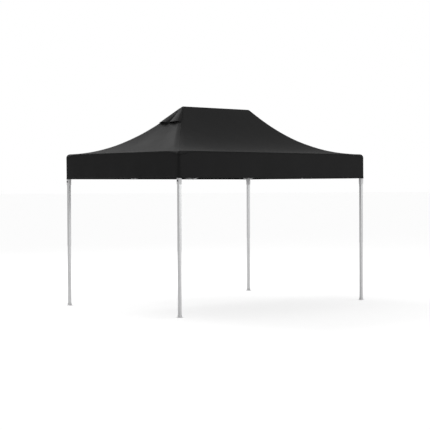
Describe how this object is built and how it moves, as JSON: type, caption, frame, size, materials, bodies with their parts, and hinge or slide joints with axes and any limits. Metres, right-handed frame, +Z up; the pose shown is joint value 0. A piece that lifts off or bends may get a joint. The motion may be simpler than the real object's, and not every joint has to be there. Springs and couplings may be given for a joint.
{
  "type": "pop up canopy",
  "caption": "Folding canopy with telescopic legs, a scissor frame sliding down the legs, and a black hip roof cover with a straight valance and an end vent.",
  "frame": {"origin": "on the ground under the middle of the open canopy", "axes": "+X along the length, towards the end without the vent; +Y across the width; +Z up"},
  "size_m": [4.47, 3.02, 3.4746],
  "materials": {
    "black_polyester": "woven polyester, coated",
    "insect_mesh": "open mesh",
    "bar_aluminium": "satin anodised",
    "leg_aluminium": "satin anodised",
    "post_aluminium": "satin anodised",
    "dark_plastic": "moulded",
    "slider_plastic": "moulded nylon",
    "bracket_plastic": "moulded nylon"
  },
  "bodies": {
    "peak_hub_left": {"peak_hub_left": "bracket_plastic", "roof_fabric": "black_polyester", "valance_fabric": "black_polyester", "vent_hood": "black_polyester", "vent_mesh": "insect_mesh"},
    "scissor_cross_left_front_a": {"scissor_cross_left_front_a": "bar_aluminium"},
    "scissor_cross_left_front_b": {"scissor_cross_left_front_b": "bar_aluminium"},
    "peak_post_left": {"peak_post_left": "post_aluminium"},
    "upper_joint_front_left": {"upper_joint_front_left": "bracket_plastic"},
    "lower_joint_front_left": {"lower_joint_front_left": "bracket_plastic"},
    "scissor_cross_left_back_a": {"scissor_cross_left_back_a": "bar_aluminium"},
    "scissor_cross_left_back_b": {"scissor_cross_left_back_b": "bar_aluminium"},
    "upper_joint_back_left": {"upper_joint_back_left": "bracket_plastic"},
    "lower_joint_back_left": {"lower_joint_back_left": "bracket_plastic"},
    "scissor_front_left_a": {"scissor_front_left_a": "bar_aluminium"},
    "scissor_front_left_b": {"scissor_front_left_b": "bar_aluminium"},
    "upper_leg_front_left": {"upper_leg_front_left": "leg_aluminium"},
    "slider_front_left": {"slider_front_left": "slider_plastic"},
    "scissor_front_middle_a": {"scissor_front_middle_a": "bar_aluminium"},
    "scissor_front_middle_b": {"scissor_front_middle_b": "bar_aluminium"},
    "upper_joint_front_right": {"upper_joint_front_right": "bracket_plastic"},
    "lower_joint_front_right": {"lower_joint_front_right": "bracket_plastic"},
    "scissor_front_right_a": {"scissor_front_right_a": "bar_aluminium"},
    "scissor_front_right_b": {"scissor_front_right_b": "bar_aluminium"},
    "upper_leg_front_right": {"upper_leg_front_right": "leg_aluminium"},
    "slider_front_right": {"slider_front_right": "slider_plastic"},
    "scissor_cross_right_front_a": {"scissor_cross_right_front_a": "bar_aluminium"},
    "scissor_cross_right_front_b": {"scissor_cross_right_front_b": "bar_aluminium"},
    "peak_hub_right": {"peak_hub_right": "bracket_plastic"},
    "peak_post_right": {"peak_post_right": "post_aluminium"},
    "scissor_back_left_a": {"scissor_back_left_a": "bar_aluminium"},
    "scissor_back_left_b": {"scissor_back_left_b": "bar_aluminium"},
    "upper_leg_back_left": {"upper_leg_back_left": "leg_aluminium"},
    "slider_back_left": {"slider_back_left": "slider_plastic"},
    "scissor_back_middle_a": {"scissor_back_middle_a": "bar_aluminium"},
    "scissor_back_middle_b": {"scissor_back_middle_b": "bar_aluminium"},
    "upper_joint_back_right": {"upper_joint_back_right": "bracket_plastic"},
    "lower_joint_back_right": {"lower_joint_back_right": "bracket_plastic"},
    "scissor_back_right_a": {"scissor_back_right_a": "bar_aluminium"},
    "scissor_back_right_b": {"scissor_back_right_b": "bar_aluminium"},
    "upper_leg_back_right": {"upper_leg_back_right": "leg_aluminium"},
    "slider_back_right": {"slider_back_right": "slider_plastic"},
    "scissor_cross_right_back_a": {"scissor_cross_right_back_a": "bar_aluminium"},
    "scissor_cross_right_back_b": {"scissor_cross_right_back_b": "bar_aluminium"},
    "scissor_left_front_a": {"scissor_left_front_a": "bar_aluminium"},
    "scissor_left_front_b": {"scissor_left_front_b": "bar_aluminium"},
    "scissor_left_back_a": {"scissor_left_back_a": "bar_aluminium"},
    "scissor_left_back_b": {"scissor_left_back_b": "bar_aluminium"},
    "scissor_right_front_a": {"scissor_right_front_a": "bar_aluminium"},
    "scissor_right_front_b": {"scissor_right_front_b": "bar_aluminium"},
    "scissor_right_back_a": {"scissor_right_back_a": "bar_aluminium"},
    "scissor_right_back_b": {"scissor_right_back_b": "bar_aluminium"},
    "lower_leg_back_left": {"lower_leg_back_left": "leg_aluminium"},
    "slider_lock_back_left": {"slider_lock_back_left": "dark_plastic"},
    "lower_leg_front_left": {"lower_leg_front_left": "leg_aluminium"},
    "slider_lock_front_left": {"slider_lock_front_left": "dark_plastic"},
    "lower_leg_front_right": {"lower_leg_front_right": "leg_aluminium"},
    "slider_lock_front_right": {"slider_lock_front_right": "dark_plastic"},
    "lower_leg_back_right": {"lower_leg_back_right": "leg_aluminium"},
    "slider_lock_back_right": {"slider_lock_back_right": "dark_plastic"}
  },
  "joints": [
    {"name": "frame_fold", "type": "hinge", "parent": "peak_hub_left", "child": "scissor_cross_left_front_a", "pos_m": [-0.725, -0.04, 2.611], "axis": [1, 0, 0], "range_deg": [0, 71.5], "deforming": ["roof_fabric", "valance_fabric", "vent_hood", "vent_mesh"]},
    {"name": "cross_left_front_b_turn", "type": "hinge", "parent": "scissor_cross_left_front_a", "child": "scissor_cross_left_front_b", "pos_m": [-0.725, -0.735, 2.421], "axis": [1, 0, 0], "range_deg": [-143, 0]},
    {"name": "peak_post_left_turn", "type": "hinge", "parent": "scissor_cross_left_front_b", "child": "peak_post_left", "pos_m": [-0.725, -0.04, 2.231], "axis": [1, 0, 0], "range_deg": [0, 71.5]},
    {"name": "lower_joint_front_left_turn", "type": "hinge", "parent": "scissor_cross_left_front_a", "child": "lower_joint_front_left", "pos_m": [-0.725, -1.42999, 2.231], "axis": [1, 0, 0], "range_deg": [-71.5, 0]},
    {"name": "upper_joint_front_left_turn", "type": "hinge", "parent": "scissor_cross_left_front_b", "child": "upper_joint_front_left", "pos_m": [-0.725, -1.42999, 2.611], "axis": [1, 0, 0], "range_deg": [0, 71.5]},
    {"name": "cross_left_back_a_turn", "type": "hinge", "parent": "peak_hub_left", "child": "scissor_cross_left_back_a", "pos_m": [-0.725, 0.04, 2.611], "axis": [-1, 0, 0], "range_deg": [0, 71.5]},
    {"name": "cross_left_back_b_turn", "type": "hinge", "parent": "peak_post_left", "child": "scissor_cross_left_back_b", "pos_m": [-0.725, 0.04, 2.231], "axis": [-1, 0, 0], "range_deg": [-71.5, 0]},
    {"name": "lower_joint_back_left_turn", "type": "hinge", "parent": "scissor_cross_left_back_a", "child": "lower_joint_back_left", "pos_m": [-0.725, 1.42999, 2.231], "axis": [-1, 0, 0], "range_deg": [-71.5, 0]},
    {"name": "upper_joint_back_left_turn", "type": "hinge", "parent": "scissor_cross_left_back_b", "child": "upper_joint_back_left", "pos_m": [-0.725, 1.42999, 2.611], "axis": [-1, 0, 0], "range_deg": [0, 71.5]},
    {"name": "front_left_a_turn", "type": "hinge", "parent": "upper_joint_front_left", "child": "scissor_front_left_a", "pos_m": [-0.755, -1.46799, 2.611], "axis": [0, -1, 0], "range_deg": [0, 71.5]},
    {"name": "front_left_b_turn", "type": "hinge", "parent": "lower_joint_front_left", "child": "scissor_front_left_b", "pos_m": [-0.755, -1.46799, 2.231], "axis": [0, -1, 0], "range_deg": [-71.5, 0]},
    {"name": "slider_front_left_turn", "type": "hinge", "parent": "scissor_front_left_a", "child": "slider_front_left", "pos_m": [-2.14499, -1.46799, 2.231], "axis": [0, -1, 0], "range_deg": [-71.5, 0]},
    {"name": "upper_leg_front_left_turn", "type": "hinge", "parent": "scissor_front_left_b", "child": "upper_leg_front_left", "pos_m": [-2.14499, -1.46799, 2.611], "axis": [0, -1, 0], "range_deg": [0, 71.5]},
    {"name": "front_middle_a_turn", "type": "hinge", "parent": "upper_joint_front_left", "child": "scissor_front_middle_a", "pos_m": [-0.695, -1.46799, 2.611], "axis": [0, 1, 0], "range_deg": [0, 71.5]},
    {"name": "front_middle_b_turn", "type": "hinge", "parent": "lower_joint_front_left", "child": "scissor_front_middle_b", "pos_m": [-0.695, -1.46799, 2.231], "axis": [0, 1, 0], "range_deg": [-71.5, 0]},
    {"name": "lower_joint_front_right_turn", "type": "hinge", "parent": "scissor_front_middle_a", "child": "lower_joint_front_right", "pos_m": [0.695, -1.46799, 2.231], "axis": [0, 1, 0], "range_deg": [-71.5, 0]},
    {"name": "upper_joint_front_right_turn", "type": "hinge", "parent": "scissor_front_middle_b", "child": "upper_joint_front_right", "pos_m": [0.695, -1.46799, 2.611], "axis": [0, 1, 0], "range_deg": [0, 71.5]},
    {"name": "front_right_a_turn", "type": "hinge", "parent": "upper_joint_front_right", "child": "scissor_front_right_a", "pos_m": [0.755, -1.46799, 2.611], "axis": [0, 1, 0], "range_deg": [0, 71.5]},
    {"name": "front_right_b_turn", "type": "hinge", "parent": "lower_joint_front_right", "child": "scissor_front_right_b", "pos_m": [0.755, -1.46799, 2.231], "axis": [0, 1, 0], "range_deg": [-71.5, 0]},
    {"name": "slider_front_right_turn", "type": "hinge", "parent": "scissor_front_right_a", "child": "slider_front_right", "pos_m": [2.14499, -1.46799, 2.231], "axis": [0, 1, 0], "range_deg": [-71.5, 0]},
    {"name": "upper_leg_front_right_turn", "type": "hinge", "parent": "scissor_front_right_b", "child": "upper_leg_front_right", "pos_m": [2.14499, -1.46799, 2.611], "axis": [0, 1, 0], "range_deg": [0, 71.5]},
    {"name": "cross_right_front_a_turn", "type": "hinge", "parent": "upper_joint_front_right", "child": "scissor_cross_right_front_a", "pos_m": [0.725, -1.42999, 2.611], "axis": [-1, 0, 0], "range_deg": [0, 71.5]},
    {"name": "cross_right_front_b_turn", "type": "hinge", "parent": "lower_joint_front_right", "child": "scissor_cross_right_front_b", "pos_m": [0.725, -1.42999, 2.231], "axis": [-1, 0, 0], "range_deg": [-71.5, 0]},
    {"name": "peak_post_right_turn", "type": "hinge", "parent": "scissor_cross_right_front_a", "child": "peak_post_right", "pos_m": [0.725, -0.04, 2.231], "axis": [-1, 0, 0], "range_deg": [-71.5, 0]},
    {"name": "peak_hub_right_turn", "type": "hinge", "parent": "scissor_cross_right_front_b", "child": "peak_hub_right", "pos_m": [0.725, -0.04, 2.611], "axis": [-1, 0, 0], "range_deg": [0, 71.5]},
    {"name": "back_left_a_turn", "type": "hinge", "parent": "upper_joint_back_left", "child": "scissor_back_left_a", "pos_m": [-0.755, 1.46799, 2.611], "axis": [0, -1, 0], "range_deg": [0, 71.5]},
    {"name": "back_left_b_turn", "type": "hinge", "parent": "lower_joint_back_left", "child": "scissor_back_left_b", "pos_m": [-0.755, 1.46799, 2.231], "axis": [0, -1, 0], "range_deg": [-71.5, 0]},
    {"name": "slider_back_left_turn", "type": "hinge", "parent": "scissor_back_left_a", "child": "slider_back_left", "pos_m": [-2.14499, 1.46799, 2.231], "axis": [0, -1, 0], "range_deg": [-71.5, 0]},
    {"name": "upper_leg_back_left_turn", "type": "hinge", "parent": "scissor_back_left_b", "child": "upper_leg_back_left", "pos_m": [-2.14499, 1.46799, 2.611], "axis": [0, -1, 0], "range_deg": [0, 71.5]},
    {"name": "back_middle_a_turn", "type": "hinge", "parent": "upper_joint_back_left", "child": "scissor_back_middle_a", "pos_m": [-0.695, 1.46799, 2.611], "axis": [0, 1, 0], "range_deg": [0, 71.5]},
    {"name": "back_middle_b_turn", "type": "hinge", "parent": "lower_joint_back_left", "child": "scissor_back_middle_b", "pos_m": [-0.695, 1.46799, 2.231], "axis": [0, 1, 0], "range_deg": [-71.5, 0]},
    {"name": "lower_joint_back_right_turn", "type": "hinge", "parent": "scissor_back_middle_a", "child": "lower_joint_back_right", "pos_m": [0.695, 1.46799, 2.231], "axis": [0, 1, 0], "range_deg": [-71.5, 0]},
    {"name": "upper_joint_back_right_turn", "type": "hinge", "parent": "scissor_back_middle_b", "child": "upper_joint_back_right", "pos_m": [0.695, 1.46799, 2.611], "axis": [0, 1, 0], "range_deg": [0, 71.5]},
    {"name": "back_right_a_turn", "type": "hinge", "parent": "upper_joint_back_right", "child": "scissor_back_right_a", "pos_m": [0.755, 1.46799, 2.611], "axis": [0, 1, 0], "range_deg": [0, 71.5]},
    {"name": "back_right_b_turn", "type": "hinge", "parent": "lower_joint_back_right", "child": "scissor_back_right_b", "pos_m": [0.755, 1.46799, 2.231], "axis": [0, 1, 0], "range_deg": [-71.5, 0]},
    {"name": "slider_back_right_turn", "type": "hinge", "parent": "scissor_back_right_a", "child": "slider_back_right", "pos_m": [2.14499, 1.46799, 2.231], "axis": [0, 1, 0], "range_deg": [-71.5, 0]},
    {"name": "upper_leg_back_right_turn", "type": "hinge", "parent": "scissor_back_right_b", "child": "upper_leg_back_right", "pos_m": [2.14499, 1.46799, 2.611], "axis": [0, 1, 0], "range_deg": [0, 71.5]},
    {"name": "cross_right_back_a_turn", "type": "hinge", "parent": "peak_hub_right", "child": "scissor_cross_right_back_a", "pos_m": [0.725, 0.04, 2.611], "axis": [-1, 0, 0], "range_deg": [0, 71.5]},
    {"name": "cross_right_back_b_turn", "type": "hinge", "parent": "peak_post_right", "child": "scissor_cross_right_back_b", "pos_m": [0.725, 0.04, 2.231], "axis": [-1, 0, 0], "range_deg": [-71.5, 0]},
    {"name": "left_front_a_turn", "type": "hinge", "parent": "upper_leg_front_left", "child": "scissor_left_front_a", "pos_m": [-2.19299, -1.38999, 2.611], "axis": [-1, 0, 0], "range_deg": [0, 71.5]},
    {"name": "left_front_b_turn", "type": "hinge", "parent": "slider_front_left", "child": "scissor_left_front_b", "pos_m": [-2.19299, -1.38999, 2.231], "axis": [-1, 0, 0], "range_deg": [-71.5, 0]},
    {"name": "left_back_a_turn", "type": "hinge", "parent": "scissor_left_front_b", "child": "scissor_left_back_a", "pos_m": [-2.19299, 0, 2.611], "axis": [-1, 0, 0], "range_deg": [0, 143]},
    {"name": "left_back_b_turn", "type": "hinge", "parent": "scissor_left_front_a", "child": "scissor_left_back_b", "pos_m": [-2.19299, 0, 2.231], "axis": [-1, 0, 0], "range_deg": [-143, 0]},
    {"name": "right_front_a_turn", "type": "hinge", "parent": "upper_leg_front_right", "child": "scissor_right_front_a", "pos_m": [2.19299, -1.38999, 2.611], "axis": [-1, 0, 0], "range_deg": [0, 71.5]},
    {"name": "right_front_b_turn", "type": "hinge", "parent": "slider_front_right", "child": "scissor_right_front_b", "pos_m": [2.19299, -1.38999, 2.231], "axis": [-1, 0, 0], "range_deg": [-71.5, 0]},
    {"name": "right_back_a_turn", "type": "hinge", "parent": "scissor_right_front_b", "child": "scissor_right_back_a", "pos_m": [2.19299, 0, 2.611], "axis": [-1, 0, 0], "range_deg": [0, 143]},
    {"name": "right_back_b_turn", "type": "hinge", "parent": "scissor_right_front_a", "child": "scissor_right_back_b", "pos_m": [2.19299, 0, 2.231], "axis": [-1, 0, 0], "range_deg": [-143, 0]},
    {"name": "leg_height_back_left", "type": "slide", "parent": "upper_leg_back_left", "child": "lower_leg_back_left", "axis": [0, 0, 1], "range_m": [0, 1]},
    {"name": "lock_pull_back_left", "type": "slide", "parent": "slider_back_left", "child": "slider_lock_back_left", "axis": [-1, 0, 0], "range_m": [0, 0.008], "stiffness_N_per_m": 900, "springref_m": -0.004},
    {"name": "leg_height_front_left", "type": "slide", "parent": "upper_leg_front_left", "child": "lower_leg_front_left", "axis": [0, 0, 1], "range_m": [0, 1]},
    {"name": "lock_pull_front_left", "type": "slide", "parent": "slider_front_left", "child": "slider_lock_front_left", "axis": [-1, 0, 0], "range_m": [0, 0.008], "stiffness_N_per_m": 900, "springref_m": -0.004},
    {"name": "leg_height_front_right", "type": "slide", "parent": "upper_leg_front_right", "child": "lower_leg_front_right", "axis": [0, 0, 1], "range_m": [0, 1]},
    {"name": "lock_pull_front_right", "type": "slide", "parent": "slider_front_right", "child": "slider_lock_front_right", "axis": [1, 0, 0], "range_m": [0, 0.008], "stiffness_N_per_m": 900, "springref_m": -0.004},
    {"name": "leg_height_back_right", "type": "slide", "parent": "upper_leg_back_right", "child": "lower_leg_back_right", "axis": [0, 0, 1], "range_m": [0, 1]},
    {"name": "lock_pull_back_right", "type": "slide", "parent": "slider_back_right", "child": "slider_lock_back_right", "axis": [1, 0, 0], "range_m": [0, 0.008], "stiffness_N_per_m": 900, "springref_m": -0.004}
  ],
  "couplings": [
    {"joint": "cross_left_front_b_turn", "follows": "frame_fold", "ratio": -2},
    {"joint": "peak_post_left_turn", "follows": "frame_fold", "ratio": 1},
    {"joint": "lower_joint_front_left_turn", "follows": "frame_fold", "ratio": -1},
    {"joint": "upper_joint_front_left_turn", "follows": "frame_fold", "ratio": 1},
    {"joint": "cross_left_back_a_turn", "follows": "frame_fold", "ratio": 1},
    {"joint": "cross_left_back_b_turn", "follows": "frame_fold", "ratio": -1},
    {"joint": "lower_joint_back_left_turn", "follows": "frame_fold", "ratio": -1},
    {"joint": "upper_joint_back_left_turn", "follows": "frame_fold", "ratio": 1},
    {"joint": "front_left_a_turn", "follows": "frame_fold", "ratio": 1},
    {"joint": "front_left_b_turn", "follows": "frame_fold", "ratio": -1},
    {"joint": "slider_front_left_turn", "follows": "frame_fold", "ratio": -1},
    {"joint": "upper_leg_front_left_turn", "follows": "frame_fold", "ratio": 1},
    {"joint": "front_middle_a_turn", "follows": "frame_fold", "ratio": 1},
    {"joint": "front_middle_b_turn", "follows": "frame_fold", "ratio": -1},
    {"joint": "lower_joint_front_right_turn", "follows": "frame_fold", "ratio": -1},
    {"joint": "upper_joint_front_right_turn", "follows": "frame_fold", "ratio": 1},
    {"joint": "front_right_a_turn", "follows": "frame_fold", "ratio": 1},
    {"joint": "front_right_b_turn", "follows": "frame_fold", "ratio": -1},
    {"joint": "slider_front_right_turn", "follows": "frame_fold", "ratio": -1},
    {"joint": "upper_leg_front_right_turn", "follows": "frame_fold", "ratio": 1},
    {"joint": "cross_right_front_a_turn", "follows": "frame_fold", "ratio": 1},
    {"joint": "cross_right_front_b_turn", "follows": "frame_fold", "ratio": -1},
    {"joint": "peak_post_right_turn", "follows": "frame_fold", "ratio": -1},
    {"joint": "peak_hub_right_turn", "follows": "frame_fold", "ratio": 1},
    {"joint": "back_left_a_turn", "follows": "frame_fold", "ratio": 1},
    {"joint": "back_left_b_turn", "follows": "frame_fold", "ratio": -1},
    {"joint": "slider_back_left_turn", "follows": "frame_fold", "ratio": -1},
    {"joint": "upper_leg_back_left_turn", "follows": "frame_fold", "ratio": 1},
    {"joint": "back_middle_a_turn", "follows": "frame_fold", "ratio": 1},
    {"joint": "back_middle_b_turn", "follows": "frame_fold", "ratio": -1},
    {"joint": "lower_joint_back_right_turn", "follows": "frame_fold", "ratio": -1},
    {"joint": "upper_joint_back_right_turn", "follows": "frame_fold", "ratio": 1},
    {"joint": "back_right_a_turn", "follows": "frame_fold", "ratio": 1},
    {"joint": "back_right_b_turn", "follows": "frame_fold", "ratio": -1},
    {"joint": "slider_back_right_turn", "follows": "frame_fold", "ratio": -1},
    {"joint": "upper_leg_back_right_turn", "follows": "frame_fold", "ratio": 1},
    {"joint": "cross_right_back_a_turn", "follows": "frame_fold", "ratio": 1},
    {"joint": "cross_right_back_b_turn", "follows": "frame_fold", "ratio": -1},
    {"joint": "left_front_a_turn", "follows": "frame_fold", "ratio": 1},
    {"joint": "left_front_b_turn", "follows": "frame_fold", "ratio": -1},
    {"joint": "left_back_a_turn", "follows": "frame_fold", "ratio": 2},
    {"joint": "left_back_b_turn", "follows": "frame_fold", "ratio": -2},
    {"joint": "right_front_a_turn", "follows": "frame_fold", "ratio": 1},
    {"joint": "right_front_b_turn", "follows": "frame_fold", "ratio": -1},
    {"joint": "right_back_a_turn", "follows": "frame_fold", "ratio": 2},
    {"joint": "right_back_b_turn", "follows": "frame_fold", "ratio": -2}
  ]
}
